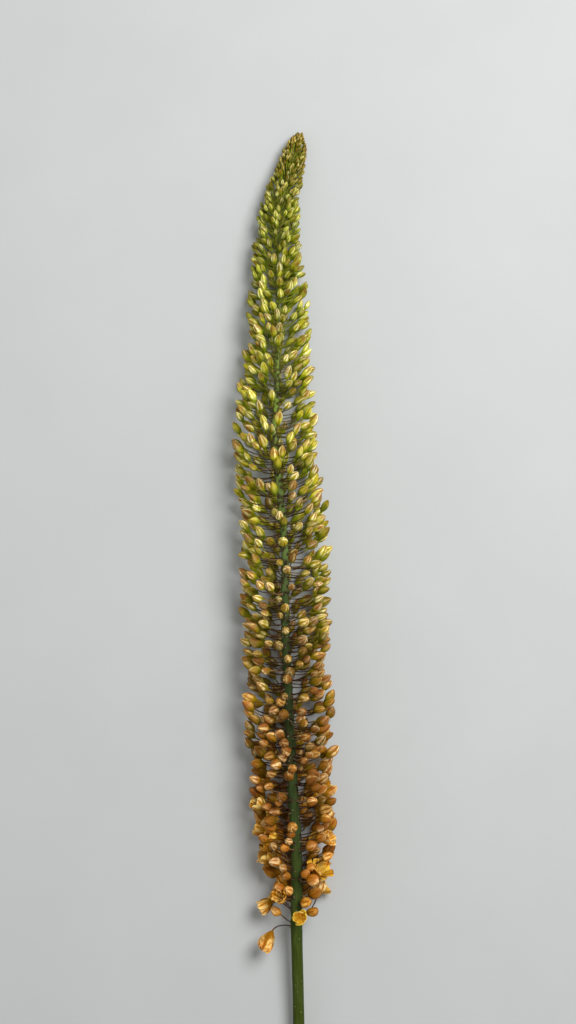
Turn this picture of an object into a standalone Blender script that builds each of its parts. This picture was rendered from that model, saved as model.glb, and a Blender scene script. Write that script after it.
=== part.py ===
"""Cut flower spike of a foxtail lily, lying on a flat surface.

Run it with blender --background --python part.py, or from Blender's text editor.
The spike lies along Y with its tip towards +Y and +Z up. It rests on z = 0 with the cut end
of its stem and with the florets that its weight presses flat. The origin is under the middle
of its box. The bare stem is one object. The raceme is three, one for each colour, and each is
a stretch of the flower axis with its florets fused to it.
"""

import math

import bmesh
import bpy
import numpy as np

MM = 0.001
SEED = 7

# Middle line of the stem from the tip to the cut end, as (x, y, z) in millimetres. In plan it is
# the gentle S of the real stem, and it sinks towards both ends, where the spike is thin.
ROUTE = (
    (11.6, 398.0, 7.0),
    (5.5, 376.0, 9.0),
    (-1.8, 350.0, 10.8),
    (-4.3, 315.0, 13.2),
    (-4.0, 260.0, 17.0),
    (-5.0, 210.0, 20.5),
    (-6.4, 176.0, 22.0),
    (-2.6, 146.0, 23.0),
    (0.6, 112.0, 23.4),
    (1.0, 60.0, 23.5),
    (3.4, 0.0, 23.2),
    (6.3, -60.0, 21.6),
    (8.9, -103.0, 19.4),
    (9.2, -165.0, 15.6),
    (10.4, -215.0, 12.4),
    (11.6, -300.0, 7.9),
    (12.3, -372.0, 4.1),
    (12.5, -400.0, 4.0),
)

# Brings the middle of the whole spike's box over the origin, in millimetres.
ORIGIN_SHIFT = (-0.56, 0.88, 0.0)

# Radius of the stem at distances from the tip, in millimetres.
STEM_FROM_TIP = (0, 100, 190, 330, 400, 480, 560, 660, 820)
STEM_RADIUS = (0.7, 1.3, 1.8, 2.8, 3.2, 4.2, 4.2, 4.0, 4.1)
STEM_SIDES = 12
AXIS_SIDES = 8
AXIS_START = 5.0
STEM_RING_GAP = 24.0
AXIS_RING_GAP = 30.0
CUT_END_FLAT = 12.0

# What the florets are like at distances from the tip: how far their tips reach from the axis, the
# length and width of a bud, the rise of the stalk and of the bud in degrees above square to the
# axis, and how many florets there are in a millimetre. Lengths are in millimetres.
FROM_TIP = (0, 10, 24, 40, 70, 100, 150, 180, 210, 280, 350, 420, 490, 525, 552)
REACH = (3.0, 7.4, 10.8, 12.6, 15.4, 18.8, 22.6, 26.6, 29.2, 31.0, 31.0, 30.8, 30.6, 26.0, 20.0)
BUD_LENGTH = (3.0, 3.8, 5.0, 6.0, 7.7, 9.0, 10.2, 10.4, 10.5, 10.5, 9.8, 9.5, 9.8, 10.3, 10.5)
BUD_WIDTH = (1.6, 1.9, 2.5, 3.0, 3.9, 4.5, 4.9, 5.1, 5.3, 6.0, 6.6, 7.0, 7.4, 8.0, 8.4)
STALK_RISE = (70, 62, 56, 52, 46, 40, 32, 29, 26, 18, 10, 7, 14, 26, 34)
BUD_RISE = (84, 70, 60, 57, 54, 51, 47, 46, 45, 40, 26, 15, 22, 40, 48)
DENSITY = (1.03, 0.99, 0.94, 0.88, 0.77, 0.7, 0.63, 0.61, 0.6, 0.58, 0.54, 0.49, 0.45, 0.41, 0.39)
FIRST_BUD = 1.0
LAST_BUD = 552.0
GOLDEN_ANGLE = math.radians(137.508)

# A bud stands for about two real ones, so it is this much longer and wider than one of them.
LONGER = 1.12
WIDER = 1.26

# How much a floret strays from the rule. Its place strays less than that near the tip.
STRAY_REACH = 0.06
STRAY_SIZE = 0.08
STRAY_TURN = math.radians(5)
STRAY_RISE = math.radians(7)
STRAY_PLACE = 1.2
FULL_STRAY_FROM = 60.0

# Open flowers at the lowest end: distance of the root from the tip, foot of the flower and the
# way it faces, both measured from the root, then its length and how wide it is open. Millimetres.
BLOOMS = (
    (557.0, (2.0, 4.0, 10.0), (0.15, 0.30, 0.92), 10.0, 0.62),
    (555.0, (14.5, 16.0, 2.0), (0.25, 0.95, 0.15), 12.0, 0.12),
    (530.0, (13.0, 5.0, 6.0), (0.42, 0.80, 0.35), 13.0, 0.62),
    (548.0, (-9.0, 9.0, 8.0), (-0.25, 0.62, 0.70), 11.0, 0.45),
    (561.0, (-15.5, -3.0, 1.5), (-0.40, -0.88, 0.10), 12.5, 0.30),
    (541.0, (-16.0, 2.0, -4.0), (-0.80, 0.50, -0.20), 12.0, 0.60),
    (522.0, (-16.0, 8.0, 3.0), (-0.72, 0.62, 0.25), 12.5, 0.50),
    (545.0, (12.5, 6.0, -7.0), (0.75, 0.55, -0.15), 12.0, 0.50),
    (536.0, (-3.0, 9.0, -9.5), (-0.25, 0.93, -0.10), 11.0, 0.45),
)
BLOOM_WIDTH = 0.75
TEPAL_THICKNESS = 0.8
NEARLY_SHUT = 0.2
# Lean of the tepals away from the flower's own line when shut, and how much opening adds, in
# degrees, then the part of that lean which comes as a curl towards their tips.
LEAN_SHUT = 12.0
LEAN_OPENS = 62.0
CURL = 0.55
CUP_RADIUS = 0.75
CUP_LEAST = 0.4
# Rings up the outside of the cup and down its inside: points in the ring, their shares of a
# tepal's length taken in turn, and how far inside the tepal's outer face they lie.
CUP_RINGS = (
    (6, (0.14,), -0.6),
    (12, (0.5, 0.44), 0.0),
    (12, (1.0, 0.7), 0.0),
    (12, (0.95, 0.67), TEPAL_THICKNESS),
    (12, (0.52, 0.42), TEPAL_THICKNESS),
    (6, (0.24,), TEPAL_THICKNESS),
)
# Rings of the style: share of a tepal's length, and radius.
STYLE_RINGS = ((0.3, 0.5), (0.85, 0.35))

# Pieces of the raceme from the tip down, with the distance at which each one ends.
STRETCHES = (
    ("raceme_upper", 185.0),
    ("raceme_middle", 352.0),
    ("raceme_lower", 566.0),
)
COLOURS = {
    "raceme_upper": ("buds_green", (0.24, 0.29, 0.05)),
    "raceme_middle": ("buds_bronze", (0.42, 0.33, 0.07)),
    "raceme_lower": ("buds_orange", (0.62, 0.30, 0.05)),
    "flower_stem": ("stem_green", (0.09, 0.17, 0.05)),
}
JOINT_GAP = 0.3
ROOT_CLEAR = 1.4

# A stalk swells a little under its flower, starts inside the axis at this share of the axis's
# radius, and bends only below the tip's short stalks.
STALK_RADIUS = 0.55
STALK_SWELLS = 0.5
SUNK = 0.45
STRAIGHT_STALKS = 170.0
LEAST_BACK = 0.15
LOWEST_ROOT = 563.0
# Six-sided rings of a bud: share of its length, and radius as a share of its width.
SMALL_BUD = 5.3
SMALL_BUD_RINGS = ((0.45, 0.5),)
BUD_RINGS = ((0.3, 0.47), (0.68, 0.41))

# Settling under the spike's own weight. Each step moves a floret by these shares: back to where
# it grew, off its neighbours, and off the surface. Open flowers keep their place better.
SETTLE_STEPS = 60
SPRING_BACK = 0.04
PUSH = 0.3
LIFT = 0.7
BLOOM_LOOSE = 0.15
# Balls that stand for a bud: share of its length, and radius as a share of its width.
BALLS = ((0.22, 0.40), (0.5, 0.50), (0.8, 0.36))
NEAR = 16.0
GAP_WITHIN = 0.5
GAP_BETWEEN = 0.6
# A bud is pressed this far flat, and one that is this low lies down along the surface.
PRESSED = 1.0
LOW_TIP = 2.5
LOW_FOOT = 8.0
LYING_FOOT = 0.36
LYING_SHARE = 0.25
TIP_CLEAR = 0.4
SHORTEST_STALK = 0.7
LONGEST_STALK = 1.04


def smooth_line(points, step):
    """Points spaced evenly along a smooth curve through the given ones, and their distances."""
    points = np.array(points, float)
    at = np.concatenate([[0.0], np.cumsum(np.linalg.norm(np.diff(points, axis=0), axis=1))])
    slope = np.gradient(points, at, axis=0)
    dense = np.linspace(0, at[-1], 60 * len(points))
    i = np.clip(np.searchsorted(at, dense, side="right") - 1, 0, len(at) - 2)
    span = (at[i + 1] - at[i])[:, None]
    t = (dense - at[i])[:, None] / span
    curve = (
        (2 * t**3 - 3 * t**2 + 1) * points[i]
        + (t**3 - 2 * t**2 + t) * span * slope[i]
        + (3 * t**2 - 2 * t**3) * points[i + 1]
        + (t**3 - t**2) * span * slope[i + 1]
    )
    run = np.concatenate([[0.0], np.cumsum(np.linalg.norm(np.diff(curve, axis=0), axis=1))])
    along = np.arange(0, run[-1], step)
    along = np.append(along, run[-1])
    return np.column_stack([np.interp(along, run, curve[:, k]) for k in range(3)]), along


LINE, ALONG = smooth_line(ROUTE, 2.0)
LINE += ORIGIN_SHIFT
LENGTH = ALONG[-1]


def unit(vectors):
    return vectors / np.linalg.norm(vectors, axis=-1, keepdims=True)


def middle(along):
    """Points on the stem's middle line at these distances from the tip."""
    return np.column_stack([np.interp(along, ALONG, LINE[:, k]) for k in range(3)])


def frame_at(along):
    """Three square directions at these distances: towards the tip, to the right, and up."""
    towards_tip = unit(middle(along - 2.0) - middle(along + 2.0))
    right = unit(np.cross(towards_tip, (0.0, 0.0, 1.0)))
    return towards_tip, right, np.cross(right, towards_tip)


def stem_radius(along):
    return np.interp(along, STEM_FROM_TIP, STEM_RADIUS)


def grown_florets():
    """Roots, feet, tips, widths and openings of all florets, before they settle."""
    rng = np.random.default_rng(SEED)
    fine = np.linspace(FIRST_BUD, LAST_BUD, 2000)
    counted = np.cumsum(np.interp(fine, FROM_TIP, DENSITY)) * (fine[1] - fine[0])
    count = int(counted[-1])
    place = np.interp(np.arange(count) + 0.5, counted, fine)
    place += rng.uniform(-STRAY_PLACE, STRAY_PLACE, count) * np.clip(place / FULL_STRAY_FROM, 0.2, 1)

    def here(column):
        return np.interp(place, FROM_TIP, column)

    turn = GOLDEN_ANGLE * np.arange(count) + rng.uniform(-STRAY_TURN, STRAY_TURN, count)
    size = rng.uniform(1 - STRAY_SIZE, 1 + STRAY_SIZE, count)
    length = here(BUD_LENGTH) * LONGER * size
    width = here(BUD_WIDTH) * WIDER * size
    rise = np.radians(here(BUD_RISE)) + rng.uniform(-STRAY_RISE, STRAY_RISE, count)
    reach = here(REACH) * rng.uniform(1 - STRAY_REACH, 1 + STRAY_REACH, count)

    towards_tip, right, up = frame_at(place)
    out = np.cos(turn)[:, None] * right + np.sin(turn)[:, None] * up
    facing = np.cos(rise)[:, None] * out + np.sin(rise)[:, None] * towards_tip
    rise_of_bud = 0.5 * length * np.sin(rise)
    tip = middle(place) + reach[:, None] * out + rise_of_bud[:, None] * towards_tip
    foot = tip - length[:, None] * facing
    across = np.maximum(reach - length * np.cos(rise) - stem_radius(place), 0.3)
    back = rise_of_bud + across * np.tan(np.radians(here(STALK_RISE)))
    root = np.minimum(place + back, LOWEST_ROOT)
    opening = np.zeros(count)

    blooms = bloom_places()
    root = np.concatenate([root, blooms[0]])
    foot = np.concatenate([foot, blooms[1]])
    tip = np.concatenate([tip, blooms[2]])
    width = np.concatenate([width, blooms[3]])
    opening = np.concatenate([opening, blooms[4]])
    return root, foot, tip, width, opening


def bloom_places():
    """The open flowers in the same form as the buds."""
    root = np.array([bloom[0] for bloom in BLOOMS])
    foot = middle(root) + np.array([bloom[1] for bloom in BLOOMS])
    facing = unit(np.array([bloom[2] for bloom in BLOOMS]))
    length = np.array([bloom[3] for bloom in BLOOMS])
    opening = np.array([bloom[4] for bloom in BLOOMS])
    width = length * BLOOM_WIDTH * (1 + opening)
    return root, foot, foot + length[:, None] * facing, width, opening


def stretch_of(root):
    """Which piece of the raceme each root is on."""
    return np.searchsorted([end for _, end in STRETCHES], root)


def clear_of_joints(root):
    """The roots moved off the gaps between the pieces of the raceme."""
    for _, end in STRETCHES[:-1]:
        near = np.abs(root - end) < ROOT_CLEAR
        root = np.where(near, end + np.where(root < end, -ROOT_CLEAR, ROOT_CLEAR), root)
    return root


def settle(root, foot, tip, width, opening):
    """Pushes the buds off the surface and off each other, with their stalks bending to follow."""
    start = middle(root)
    foot_home = foot.copy()
    tip_home = tip.copy()
    length = np.linalg.norm(tip - foot, axis=1)
    stalk = np.linalg.norm(foot - start, axis=1)
    loose = np.where(opening > 0, BLOOM_LOOSE, 1.0)
    owner = np.repeat(np.arange(len(root)), len(BALLS))
    share = np.tile([ball[0] for ball in BALLS], len(root))[:, None]
    radius = np.tile([ball[1] for ball in BALLS], len(root)) * width[owner]
    piece = stretch_of(root)[owner]

    centre = foot[owner] * (1 - share) + tip[owner] * share
    first, second = np.triu_indices(len(owner), 1)
    close = np.linalg.norm(centre[first] - centre[second], axis=1) < NEAR
    close &= owner[first] != owner[second]
    first, second = first[close], second[close]
    gap = np.where(piece[first] == piece[second], GAP_WITHIN, GAP_BETWEEN)
    apart = radius[first] + radius[second] + gap

    for _ in range(SETTLE_STEPS):
        foot += SPRING_BACK * (foot_home - foot)
        tip += SPRING_BACK * (tip_home - tip)
        centre = foot[owner] * (1 - share) + tip[owner] * share
        push = np.zeros_like(centre)
        between = centre[first] - centre[second]
        distance = np.linalg.norm(between, axis=1)
        short = np.maximum(apart - distance, 0) * PUSH
        move = between / np.maximum(distance, 1e-6)[:, None] * short[:, None]
        np.add.at(push, first, move * loose[owner[first]][:, None])
        np.add.at(push, second, -move * loose[owner[second]][:, None])
        push[:, 2] += np.maximum(radius - PRESSED - centre[:, 2], 0) * LIFT
        np.add.at(foot, owner, push * (1 - share))
        np.add.at(tip, owner, push * share)
        low = (tip[:, 2] < LOW_TIP) & (foot[:, 2] < LOW_FOOT)
        foot[:, 2] += np.where(low, LYING_SHARE * (LYING_FOOT * width - foot[:, 2]), 0)
        foot[:, 2] = np.maximum(foot[:, 2], STALK_RADIUS)
        tip[:, 2] = np.maximum(tip[:, 2], TIP_CLEAR)
        centre_of_bud = (foot + tip) / 2
        half = unit(tip - foot) * length[:, None] / 2
        foot = centre_of_bud - half
        tip = centre_of_bud + half
        drift = foot - start
        far = np.linalg.norm(drift, axis=1)
        wanted = np.clip(far, SHORTEST_STALK * stalk, LONGEST_STALK * stalk)
        shift = drift * (wanted / np.maximum(far, 1e-6) - 1)[:, None]
        foot += shift
        tip += shift
    return foot, tip


def skin(rings):
    """Points and outward triangles of a closed tube over rings that may double or halve."""
    points = [point for ring in rings for point in ring]
    faces = []
    start = 0
    for lower, upper in zip(rings, rings[1:]):
        n, m = len(lower), len(upper)
        a = range(start, start + n)
        b = range(start + n, start + n + m)
        if m == 1:
            faces += [(a[k], a[(k + 1) % n], b[0]) for k in range(n)]
        elif n == m:
            faces += [(a[k], a[(k + 1) % n], b[(k + 1) % n]) for k in range(n)]
            faces += [(a[k], b[(k + 1) % n], b[k]) for k in range(n)]
        elif m == 2 * n:
            faces += [(a[k], b[(2 * k + 1) % m], b[2 * k]) for k in range(n)]
            faces += [(a[k], a[(k + 1) % n], b[2 * k + 1]) for k in range(n)]
            faces += [(a[(k + 1) % n], b[(2 * k + 2) % m], b[2 * k + 1]) for k in range(n)]
        else:
            faces += [(a[2 * k], a[2 * k + 1], b[k]) for k in range(m)]
            faces += [(a[2 * k + 1], b[(k + 1) % m], b[k]) for k in range(m)]
            faces += [(a[2 * k + 1], a[(2 * k + 2) % n], b[(k + 1) % m]) for k in range(m)]
        start += n
    faces += fan(range(len(rings[0])))[::-1] if len(rings[0]) > 2 else []
    last = len(rings[-1])
    if last > 2:
        faces += [face[::-1] for face in fan(range(start, start + last))]
    return points, faces


def fan(ring):
    """Triangles that fill a ring, facing back along the tube."""
    return [(ring[0], ring[k + 1], ring[k]) for k in range(1, len(ring) - 1)]


def ring_round(centre, along, side, radius, count, turn=0.0):
    """Points of a ring square to a direction, pressed flat where they would go under z = 0."""
    side = unit(side - np.dot(side, along) * along)
    over = np.cross(along, side)
    angles = turn + 2 * math.pi * np.arange(count) / count
    ring = centre + radius * (np.cos(angles)[:, None] * side + np.sin(angles)[:, None] * over)
    ring[:, 2] = np.maximum(ring[:, 2], 0.0)
    return ring


def stalk_curve(start, foot, leave, arrive, shares):
    """Points and directions of a floret's stalk, which leaves one way and arrives another."""
    reach = np.linalg.norm(foot - start)
    points, directions = [], []
    for t in shares:
        point = (
            (2 * t**3 - 3 * t**2 + 1) * start
            + (t**3 - 2 * t**2 + t) * reach * leave
            + (3 * t**2 - 2 * t**3) * foot
            + (t**3 - t**2) * reach * arrive
        )
        direction = (
            (6 * t**2 - 6 * t) * (start - foot)
            + (3 * t**2 - 4 * t + 1) * reach * leave
            + (3 * t**2 - 2 * t) * reach * arrive
        )
        point[2] = max(point[2], STALK_RADIUS)
        points.append(point)
        directions.append(unit(direction))
    return points, directions


def stalk_rings(root, foot, tip, spans):
    """Rings of a stalk from deep in the axis to the foot of its flower, and its side direction."""
    towards_tip = frame_at(np.array([root]))[0][0]
    centre = middle(np.array([root]))[0]
    arrive = unit(tip - foot)
    out = foot - centre
    out = unit(out - np.dot(out, towards_tip) * towards_tip)
    chord = unit(foot - centre)
    leave = unit(2 * chord - arrive)
    leave = unit(leave - min(np.dot(leave, towards_tip) + LEAST_BACK, 0) * towards_tip)
    radius = float(stem_radius(root))
    start = centre + out * radius * SUNK
    side = np.cross(towards_tip, out)
    shares = np.linspace(0, 1, spans + 1)
    points, directions = stalk_curve(start, foot, leave, arrive, shares)
    rings = [
        ring_round(point, direction, side, STALK_RADIUS * (1 + STALK_SWELLS * share**4), 3)
        for point, direction, share in zip(points, directions, shares)
    ]
    return rings, side, arrive


def bud_mesh(root, foot, tip, width):
    """A closed bud on its stalk, egg-shaped up to its point, with one of its six sides below."""
    rings, side, facing = stalk_rings(root, foot, tip, 1 if root < STRAIGHT_STALKS else 2)
    level = unit(np.cross(facing, (0.0, 0.0, 1.0)))
    turn = math.atan2(np.dot(side, np.cross(facing, level)), np.dot(side, level))
    turn = round(turn / math.radians(60)) * math.radians(60)
    for share, radius in SMALL_BUD_RINGS if width < SMALL_BUD else BUD_RINGS:
        centre = foot * (1 - share) + tip * share
        rings.append(ring_round(centre, facing, level, radius * width, 6, turn))
    rings.append(tip[None, :])
    return skin(rings)


def bloom_mesh(root, foot, tip, opening):
    """An open flower in one skin: its stalk, a cup cut into six pointed lobes, and its style."""
    rings, side, facing = stalk_rings(root, foot, tip, 3)
    side = unit(side - np.dot(side, facing) * facing)
    over = np.cross(facing, side)
    length = float(np.linalg.norm(tip - foot))
    lean = math.radians(LEAN_SHUT + LEAN_OPENS * opening)

    def ring(count, shares, inward):
        """Points round the cup, at these shares of a tepal's length, pointed and notched in turn."""
        angles = 2 * math.pi * np.arange(count) / count
        share = np.resize(shares, count)
        bend = lean * (1 - CURL + CURL * share)
        radius = CUP_RADIUS * np.minimum(4 * share, 1) + length * share * np.sin(bend)
        radius = np.maximum(radius - inward, CUP_LEAST)
        height = length * share * np.cos(bend)
        way = np.cos(angles)[:, None] * side + np.sin(angles)[:, None] * over
        points = foot + height[:, None] * facing + radius[:, None] * way
        points[:, 2] = np.maximum(points[:, 2], 0.0)
        return points

    for count, shares, inward in CUP_RINGS:
        rings.append(ring(count, shares, inward))
    for share, radius in STYLE_RINGS:
        rings.append(ring_round(foot + facing * share * length, facing, side, radius, 3))
    return skin(rings)


def axis_mesh(begin, end, sides, gap):
    """A round stretch of the stem between two distances from the tip."""
    count = max(2, int(math.ceil((end - begin) / gap)) + 1)
    along = np.linspace(begin, end, count)
    if end > LENGTH - 1:
        along = np.append(np.linspace(begin, end - CUT_END_FLAT, count - 1), end)
    centres = middle(along)
    directions, right, _ = frame_at(along)
    half = math.pi / sides
    rings = [
        ring_round(centre, -direction, side, float(stem_radius(place)) / math.cos(half), sides, half)
        for centre, direction, side, place in zip(centres, directions, right, along)
    ]
    return skin(rings)


def add_object(name, points, faces, place):
    """A mesh object in metres from points in millimetres, with its faces turned outwards."""
    mesh = bpy.data.meshes.new(name)
    points = [tuple(np.asarray(point) * MM) for point in points]
    mesh.from_pydata(points, [], [tuple(face) for face in faces])
    work = bmesh.new()
    work.from_mesh(mesh)
    bmesh.ops.remove_doubles(work, verts=work.verts, dist=0.00001)
    bmesh.ops.recalc_face_normals(work, faces=work.faces)
    work.to_mesh(mesh)
    work.free()
    obj = bpy.data.objects.new(name, mesh)
    place.objects.link(obj)
    return obj


def keep_outer_shell(mesh):
    """Drops scraps and the walls of sealed hollows, which leaves one closed body."""
    work = bmesh.new()
    work.from_mesh(mesh)
    bmesh.ops.triangulate(work, faces=work.faces)
    seen = set()
    shells = []
    for face in work.faces:
        if face in seen:
            continue
        shell = [face]
        seen.add(face)
        for reached in shell:
            for edge in reached.edges:
                for other in edge.link_faces:
                    if other not in seen:
                        seen.add(other)
                        shell.append(other)
        shells.append(shell)
    shells.sort(key=len)
    spare = [face for shell in shells[:-1] for face in shell]
    bmesh.ops.delete(work, geom=spare, context="FACES")
    work.to_mesh(mesh)
    work.free()


def fuse(target, collection):
    """One Boolean union of the target with all of a collection, applied."""
    union = target.modifiers.new("florets", "BOOLEAN")
    union.operation = "UNION"
    union.solver = "EXACT"
    union.operand_type = "COLLECTION"
    union.collection = collection
    graph = bpy.context.evaluated_depsgraph_get()
    mesh = bpy.data.meshes.new_from_object(target.evaluated_get(graph), depsgraph=graph)
    target.modifiers.clear()
    target.data = mesh
    for obj in list(collection.objects):
        bpy.data.objects.remove(obj)
    bpy.data.collections.remove(collection)
    keep_outer_shell(mesh)


def make_material(name, colour, roughness):
    material = bpy.data.materials.new(name)
    material.use_nodes = True
    shader = material.node_tree.nodes["Principled BSDF"]
    shader.inputs["Base Color"].default_value = (*colour, 1.0)
    shader.inputs["Roughness"].default_value = roughness
    shader.inputs["Metallic"].default_value = 0.0
    return material


def finish(obj):
    slot, colour = COLOURS[obj.name]
    obj.data.materials.clear()
    obj.data.materials.append(make_material(slot, colour, 0.5))
    obj.data.shade_smooth()
    obj.data.set_sharp_from_angle(angle=math.radians(40))


def make_stem(scene_collection):
    begin = STRETCHES[-1][1] + JOINT_GAP / 2
    points, faces = axis_mesh(begin, LENGTH, STEM_SIDES, STEM_RING_GAP)
    finish(add_object("flower_stem", points, faces, scene_collection))


def make_raceme(scene_collection):
    root, foot, tip, width, opening = grown_florets()
    root = clear_of_joints(root)
    foot, tip = settle(root, foot, tip, width, opening)
    piece_of = stretch_of(root)
    begin = AXIS_START
    for piece, (name, end) in enumerate(STRETCHES):
        points, faces = axis_mesh(begin, end - JOINT_GAP / 2, AXIS_SIDES, AXIS_RING_GAP)
        axis = add_object(name, points, faces, scene_collection)
        florets = bpy.data.collections.new(name + "_florets")
        scene_collection.children.link(florets)
        for k in np.flatnonzero(piece_of == piece):
            if opening[k] > NEARLY_SHUT:
                points, faces = bloom_mesh(root[k], foot[k], tip[k], opening[k])
            else:
                points, faces = bud_mesh(root[k], foot[k], tip[k], width[k])
            add_object("floret", points, faces, florets)
        print(name, np.count_nonzero(piece_of == piece), "florets")
        fuse(axis, florets)
        finish(axis)
        begin = end + JOINT_GAP / 2


def main():
    for obj in list(bpy.data.objects):
        bpy.data.objects.remove(obj)
    scene_collection = bpy.context.scene.collection
    make_stem(scene_collection)
    make_raceme(scene_collection)


main()
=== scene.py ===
import math

import bpy
import numpy as np
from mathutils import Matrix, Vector


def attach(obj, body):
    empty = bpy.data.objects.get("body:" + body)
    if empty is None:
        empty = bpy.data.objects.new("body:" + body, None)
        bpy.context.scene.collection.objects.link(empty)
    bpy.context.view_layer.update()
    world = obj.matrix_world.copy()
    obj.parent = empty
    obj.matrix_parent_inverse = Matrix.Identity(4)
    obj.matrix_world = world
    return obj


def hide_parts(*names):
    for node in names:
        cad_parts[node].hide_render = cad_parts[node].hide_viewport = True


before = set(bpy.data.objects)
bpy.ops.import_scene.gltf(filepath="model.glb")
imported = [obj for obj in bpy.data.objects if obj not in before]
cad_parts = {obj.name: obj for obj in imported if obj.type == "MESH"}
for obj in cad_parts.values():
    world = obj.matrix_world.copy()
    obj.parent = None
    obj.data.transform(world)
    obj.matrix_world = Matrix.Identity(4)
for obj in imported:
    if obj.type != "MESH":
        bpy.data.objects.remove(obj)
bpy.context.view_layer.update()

mm = 0.001  # lengths are in millimetres up to the meshes, which are in metres
lowest = 0.02  # no point of a piece is nearer to the surface than this
print("frame loaded:", ", ".join(sorted(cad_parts)))


# the line of the stem, from the tip to the cut end
stemLine = {
    "route": (
        (11.6, 398.0, 7.0), (5.5, 376.0, 9.0), (-1.8, 350.0, 10.8), (-4.3, 315.0, 13.2),
        (-4.0, 260.0, 17.0), (-5.0, 210.0, 20.5), (-6.4, 176.0, 22.0), (-2.6, 146.0, 23.0),
        (0.6, 112.0, 23.4), (1.0, 60.0, 23.5), (3.4, 0.0, 23.2), (6.3, -60.0, 21.6),
        (8.9, -103.0, 19.4), (9.2, -165.0, 15.6), (10.4, -215.0, 12.4), (11.6, -300.0, 7.9),
        (12.3, -372.0, 4.1), (12.5, -400.0, 4.0),
    ),
    "shift": (-0.56, 0.88, 0.0),
    "fromTip": (0, 100, 190, 330, 400, 480, 560, 660, 820),
    "radius": (0.7, 1.3, 1.8, 2.7, 3.1, 3.7, 4.0, 4.0, 4.1),
    "step": 2.0,
    "pointsPerBend": 60,  # for measuring the curve
    "lookAhead": 2.0,  # how far each way the direction of the stem is read from
    "racemeEnds": 566.0,  # where the flowers stop and the bare stem starts
}


def addObject(name, data):
    item = bpy.data.objects.new(name, data)
    bpy.context.scene.collection.objects.link(item)
    return item


def unit(vectors):
    return vectors / np.maximum(np.linalg.norm(vectors, axis=-1, keepdims=True), 1e-9)


def dots(a, b):
    return np.sum(a * b, axis=-1, keepdims=True)


def between(pair, share):
    return pair[0] + (pair[1] - pair[0]) * share


def growing(value, begins, takes):
    # 0 until it begins, then up to 1 over what it takes
    return np.clip((value - begins) / takes, 0, 1)


def roundFrom(angles, side, over):
    # the directions at these angles from side towards over
    return np.cos(angles)[..., None] * side + np.sin(angles)[..., None] * over


def curveBetween(t, size, start, leave, end, arrive):
    # places at the shares t of a smooth curve, by how it leaves its start and arrives at its end
    return (
        (2 * t**3 - 3 * t**2 + 1) * start + (t**3 - 2 * t**2 + t) * size * leave
        + (3 * t**2 - 2 * t**3) * end + (t**3 - t**2) * size * arrive
    )


def distancesAlong(points):
    return np.concatenate([[0.0], np.cumsum(np.linalg.norm(np.diff(points, axis=0), axis=1))])


def placesAt(along, distances, points):
    return np.column_stack([np.interp(along, distances, points[:, k]) for k in range(3)])


def smoothLine(points, step):
    # points spaced evenly along a smooth curve through the given ones, and their distances
    points = np.array(points, float)
    at = distancesAlong(points)
    slope = np.gradient(points, at, axis=0)
    dense = np.linspace(0, at[-1], stemLine["pointsPerBend"] * len(points))
    i = np.clip(np.searchsorted(at, dense, side="right") - 1, 0, len(at) - 2)
    span = (at[i + 1] - at[i])[:, None]
    t = (dense - at[i])[:, None] / span
    curve = curveBetween(t, span, points[i], slope[i], points[i + 1], slope[i + 1])
    run = distancesAlong(curve)
    along = np.append(np.arange(0, run[-1], step), run[-1])
    return placesAt(along, run, curve), along


linePoints, lineAlong = smoothLine(stemLine["route"], stemLine["step"])
linePoints += stemLine["shift"]
stemLength = lineAlong[-1]


def middleAt(along):
    return placesAt(along, lineAlong, linePoints)


def frameAt(along):
    # towards the tip, to the right, and up
    ahead = stemLine["lookAhead"]
    towardsTip = unit(middleAt(along - ahead) - middleAt(along + ahead))
    right = unit(np.cross(towardsTip, (0.0, 0.0, 1.0)))
    return towardsTip, right, np.cross(right, towardsTip)


def radiusAt(along):
    return np.interp(along, stemLine["fromTip"], stemLine["radius"])


# meshes from rings
def withEnds(values, tips=None):
    # what each body has at the points of its rings, then at its two ends
    starts = values[:, 0].mean(axis=1)
    tips = values[:, -1].mean(axis=1) if tips is None else tips
    flat = values.reshape(len(values), -1, *values.shape[3:])
    return np.concatenate([flat, starts[:, None], tips[:, None]], axis=1)


def tubes(sections, tips=None):
    # closed bodies from rings: sections is bodies x rings x points round x 3
    bodies, rings, around = sections.shape[:3]
    points = withEnds(sections, tips)
    k = np.arange(around)
    n = (k + 1) % around
    quads = [np.column_stack([r * around + k, r * around + n, (r + 1) * around + n, (r + 1) * around + k])
             for r in range(rings - 1)]
    start = rings * around
    first = np.column_stack([np.full(around, start), n, k])
    last = (rings - 1) * around
    ends = np.column_stack([np.full(around, start + 1), last + k, last + n])
    step = (np.arange(bodies) * points.shape[1])[:, None, None]
    quads = (np.concatenate(quads)[None] + step).reshape(-1, 4)
    fans = (np.concatenate([first, ends])[None] + step).reshape(-1, 3)
    return points.reshape(-1, 3), quads, fans


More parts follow.
